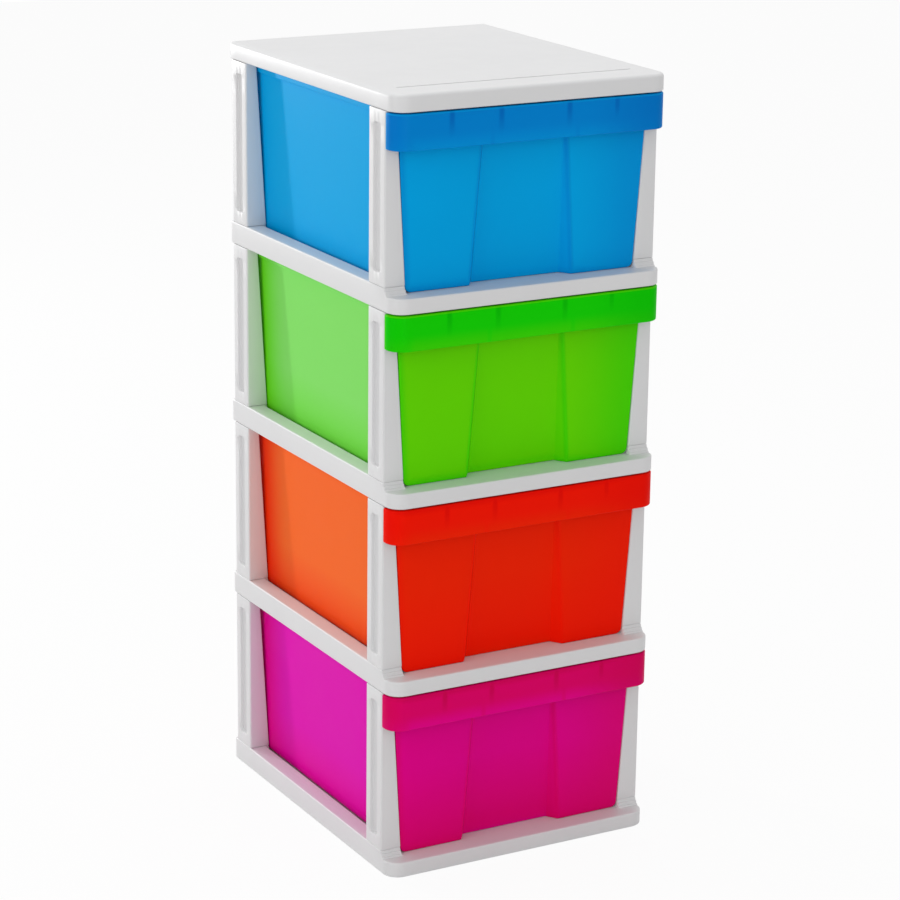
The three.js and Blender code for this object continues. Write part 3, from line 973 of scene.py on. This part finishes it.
def tinted_plastic(name, colours, sizes, top):
    """See-through coloured polypropylene, blurred by its satin skin.

    It looks deeper over the band, where there is more of it and where painted shade stands for the
    dark hollow behind it, most before the fins and at its ends. On the front it is deeper as
    front_share says. Both the front and the band get painted shade towards the right-hand end,
    where the least light comes through. Its sides look lighter, painted light for the light that
    comes through them, except near the rear, a painted shadow of the rear post. The band pales over
    its lowest part, and its lip has some of the plain colour. A larger drift makes it paler there,
    deepens its top and the front's lower half, and takes the lip's colour away.
    """
    base = getattr(colours, name)
    # the sides' paler colour, painted light
    light = getattr(colours, name + "_side")
    # the deeper colour, on the band partly painted shade of the hollow behind it
    deep = getattr(colours, name + "_band")
    drift = getattr(colours, name + "_drift")
    deepest = [DEEPEST_SHARE * channel**DEEPEST_POWER for channel in deep]
    material, tree, shader = node_tree("moulded_" + name)
    place = add_node(tree, "ShaderNodeTexCoord").outputs["Object"]
    at = DrawerPlaces(tree, place, sizes, top)
    band = band_share(tree, at)
    under = combine(tree, "SUBTRACT", top, at.z)
    rise = fade(tree, at.z, at.band_low, at.band_low + PALE_HEIGHT)
    full = map_to(tree, rise, 0.0, 1.0, PALE_SHARE * (1 - drift), 1.0)
    lower = map_to(tree, at.z, at.floor, (at.floor + top) / 2, drift, 0.0)
    # deepest over the fins, the band's ends and top, and, as painted shade, towards the right-hand
    # end
    deepening = largest(
        tree,
        fin_share(tree, at, sizes),
        fade(tree, combine(tree, "SUBTRACT", HALF_WIDTH, at.side), *END_SHADE),
        fade(tree, at.x, *RIGHT_PAINTED_SHADE),
        fade(tree, under, *CROWN_SHADE[:2], CROWN_SHADE[2] * drift),
    )
    lip = fade(tree, under, *LIP_SHADE[:2], LIP_SHADE[2] * (1 - drift))
    shades = (
        # painted light on the sides, with painted shadow of the rear post near the rear
        (painted_side_light(tree, at), light),
        (product(tree, lower, at.on_front), deep),
        (front_share(tree, at), deep),
        # the band deeper, for its doubled plastic and as painted shade of the dark hollow behind it
        (product(tree, band, full), deep),
        (product(tree, band, deepening), deepest),
        (product(tree, band, lip), base),
    )
    shade = tint(tree, place, base, light=1.03, dark=0.95, scale=7.0)
    for share, plastic in shades:
        shade = blend_colours(tree, share, shade, plastic)
    values = {
        "Base Color": shade,
        "Roughness": satin(tree, place, scale=30.0, smooth=0.36, rough=0.46),
        "Normal": grain(tree, place, fine=700.0, coarse=40.0, strength=0.2),
        **TINTED_SHADER,
    }
    feed(tree, shader, values)
    return material


# Stage

# Each lamp: its place, the point it is turned to and the length of its sides, in metres
LAMPS = {
    "key": ((-1.15, 3.05, 0.75), (0, 0, 0.45), 0.12),
    "top": ((0.0, 0.5, 3.2), (0, 0, 0.8), 1.6),
    "side": ((-2.8, -0.6, 1.5), (0, 0, 0.45), 2.0),
    "front": ((-0.6, -3.2, 1.2), (0, 0, 0.4), 2.0),
}
FLOOR_CORNERS = ((-6, -6, 0), (6, -6, 0), (6, 6, 0), (-6, 6, 0))
FLOOR_GLOW = 0.94  # share of white in the seen floor, which leaves the rest to the shadow
WHITE_LIGHT = {"Color": (1, 1, 1, 1), "Strength": 1.0}
FILM_WIDTH = 36.0


def stand(name, data, right, up, back, place):
    """Puts a lamp or the camera at its place, with these axes."""
    thing = bpy.data.objects.new(name, data)
    rows = [[right[i], up[i], back[i], place[i]] for i in range(3)]
    thing.matrix_world = Matrix(rows + [[0, 0, 0, 1]])
    bpy.context.scene.collection.objects.link(thing)
    return thing


def soft_lamp(name, place, aim, size, watts):
    """A square area lamp turned towards a point."""
    data = bpy.data.lights.new(name, "AREA")
    data.shape = "SQUARE"
    data.size = size
    data.energy = watts
    back = np.subtract(place, aim)
    back /= np.linalg.norm(back)
    right = np.cross([0.0, 1.0, 0.0] if abs(back[2]) > 0.95 else [0.0, 0.0, 1.0], back)
    right /= np.linalg.norm(right)
    stand(name, data, right, np.cross(back, right), back, place)


def seen_straight(tree):
    """1 for rays from the camera and for those that mirror or pass through, otherwise 0."""
    path = add_node(tree, "ShaderNodeLightPath").outputs
    return largest(tree, path["Is Camera Ray"], path["Is Glossy Ray"], path["Is Transmission Ray"])


def mix_shaders(tree, factor, first, second, output):
    """Mixes two shaders by a factor's socket and links them to the named output node."""
    mix = add_node(tree, "ShaderNodeMixShader", {"Fac": factor, 1: first, 2: second})
    tree.links.new(mix.outputs["Shader"], tree.nodes[output].inputs["Surface"])


# Operators


class TOWER_OT_shelves(bpy.types.Operator):
    """Builds the base plate and the three shelves."""

    bl_idname = "tower.shelves"
    bl_label = "Base and Shelves"

    def execute(self, context):
        scene = context.scene
        shell = shelf_plate(scene.tower_plates, scene.tower_posts)
        material = white_plastic(scene.tower_colours)
        for level, node in enumerate(SHELVES):
            add_piece(node, material, shell, level * LEVEL_PITCH)
        return {"FINISHED"}


class TOWER_OT_top_panel(bpy.types.Operator):
    """Builds the closed top panel with its shallow groove."""

    bl_idname = "tower.top_panel"
    bl_label = "Top Panel"

    def execute(self, context):
        shell = top_panel(context.scene.tower_plates, PANEL_HIGH.z - PANEL_LOW.z)
        material = bpy.data.materials["moulded_white"]
        add_piece("top_panel", material, shell, PANEL_LOW.z)
        return {"FINISHED"}


class TOWER_OT_posts(bpy.types.Operator):
    """Builds the sixteen grooved posts."""

    bl_idname = "tower.posts"
    bl_label = "Posts"

    def execute(self, context):
        scene = context.scene
        sizes = scene.tower_posts
        front = FRONT + sizes.front_setback
        rear = REAR - sizes.rear_setback - sizes.depth
        material = bpy.data.materials["moulded_white"]
        for end, place in (("front", front), ("rear", rear)):
            for hand, side in (("left", -1), ("right", 1)):
                shell = post_shell(sizes, scene.tower_plates, side, place)
                for level in range(len(SHELVES)):
                    node = f"post_level{level + 1}_{end}_{hand}"
                    add_piece(node, material, shell, level * LEVEL_PITCH)
        return {"FINISHED"}


class TOWER_OT_drawers(bpy.types.Operator):
    """Builds the four see-through drawers, each a tub with a handle band and its fins."""

    bl_idname = "tower.drawers"
    bl_label = "Drawers"

    def execute(self, context):
        scene = context.scene
        sizes = scene.tower_drawers
        band = band_shell(sizes, scene.tower_plates, scene.tower_posts)
        shell = join_shells([tub_shell(sizes), band, *band_fins(sizes)])
        for level, name in enumerate(PLASTICS):
            lift = level * LEVEL_PITCH
            material = tinted_plastic(name, scene.tower_colours, sizes, DRAWER_HIGH.z + lift)
            add_piece("drawer_" + name, material, shell, lift)
        return {"FINISHED"}


class TOWER_OT_stage(bpy.types.Operator):
    """Builds the floor, the even light, the lamps and the camera."""

    bl_idname = "tower.stage"
    bl_label = "Stage"

    def execute(self, context):
        scene = context.scene
        stage = scene.tower_stage
        self.floor()
        self.sky(stage)
        for name, (place, aim, size) in LAMPS.items():
            soft_lamp(name + "_light", place, aim, size, getattr(stage, name + "_power"))
        self.camera(stage)
        scene.view_settings.view_transform = "Standard"
        return {"FINISHED"}

    def floor(self):
        """A pale floor that reads white and keeps a share of the object's shadow."""
        mesh = bpy.data.meshes.new("floor")
        mesh.from_pydata(FLOOR_CORNERS, [], [(0, 1, 2, 3)])
        floor = bpy.data.objects.new("floor", mesh)
        bpy.context.scene.collection.objects.link(floor)
        material, tree, shader = node_tree("pale_floor")
        dull = {"Base Color": (0.8, 0.8, 0.8, 1), "Roughness": 0.9, "Specular IOR Level": 0.0}
        feed(tree, shader, dull)
        glow = add_node(tree, "ShaderNodeEmission", WHITE_LIGHT)
        share = combine(tree, "MULTIPLY", seen_straight(tree), FLOOR_GLOW)
        shaders = (shader.outputs["BSDF"], glow.outputs["Emission"])
        mix_shaders(tree, share, *shaders, "Material Output")
        mesh.materials.append(material)

    def sky(self, stage):
        """Even light all round, which reads white behind the object and through it."""
        world = bpy.data.worlds.new("studio")
        world.use_nodes = True
        tree = world.node_tree
        even = tree.nodes["Background"]
        feed(tree, even, {**WHITE_LIGHT, "Strength": stage.sky})
        white = add_node(tree, "ShaderNodeBackground", WHITE_LIGHT)
        backgrounds = (even.outputs["Background"], white.outputs["Background"])
        mix_shaders(tree, seen_straight(tree), *backgrounds, "World Output")
        bpy.context.scene.world = world

    def camera(self, stage):
        """The camera looks along its turn and rise, and rolls about that line."""
        turn, rise, roll = stage.camera_turn
        ahead = np.array(
            [math.sin(turn) * math.cos(rise), math.cos(turn) * math.cos(rise), math.sin(rise)]
        )
        level = np.array([math.cos(turn), -math.sin(turn), 0.0])
        above = np.cross(level, ahead)
        right = level * math.cos(roll) + above * math.sin(roll)
        up = above * math.cos(roll) - level * math.sin(roll)
        data = bpy.data.cameras.new("camera")
        data.lens = stage.camera_lens
        data.sensor_width = FILM_WIDTH
        bpy.context.scene.camera = stand("camera", data, right, up, -ahead, stage.camera_place)


class TOWER_PT_panel(bpy.types.Panel):
    """Lists the tower's pieces, sizes and colours."""

    bl_idname = "TOWER_PT_panel"
    bl_label = "Drawer Tower"
    bl_space_type = "VIEW_3D"
    bl_region_type = "UI"
    bl_category = "Drawer Tower"

    def draw(self, context):
        column = self.layout.column()
        for operator in OPERATORS:
            column.operator(operator.bl_idname)
        for name, group in GROUPS.items():
            box = self.layout.box()
            for key in group.__annotations__:
                box.prop(getattr(context.scene, name), key)


GROUPS = {
    "tower_plates": TowerPlateSizes,
    "tower_posts": TowerPostSizes,
    "tower_drawers": TowerDrawerSizes,
    "tower_colours": TowerColours,
    "tower_stage": TowerStage,
}
OPERATORS = (TOWER_OT_shelves, TOWER_OT_top_panel, TOWER_OT_posts, TOWER_OT_drawers, TOWER_OT_stage)
CLASSES = (*GROUPS.values(), *OPERATORS, TOWER_PT_panel)


def register():
    for kind in CLASSES:
        bpy.utils.register_class(kind)
    for name, group in GROUPS.items():
        setattr(bpy.types.Scene, name, bpy.props.PointerProperty(type=group))


def unregister():
    for name in GROUPS:
        delattr(bpy.types.Scene, name)
    for kind in reversed(CLASSES):
        bpy.utils.unregister_class(kind)


def main():
    """Builds the whole scene."""
    register()
    bpy.ops.tower.shelves()
    bpy.ops.tower.top_panel()
    bpy.ops.tower.posts()
    bpy.ops.tower.drawers()
    bpy.ops.tower.stage()


if __name__ == "__main__":
    main()
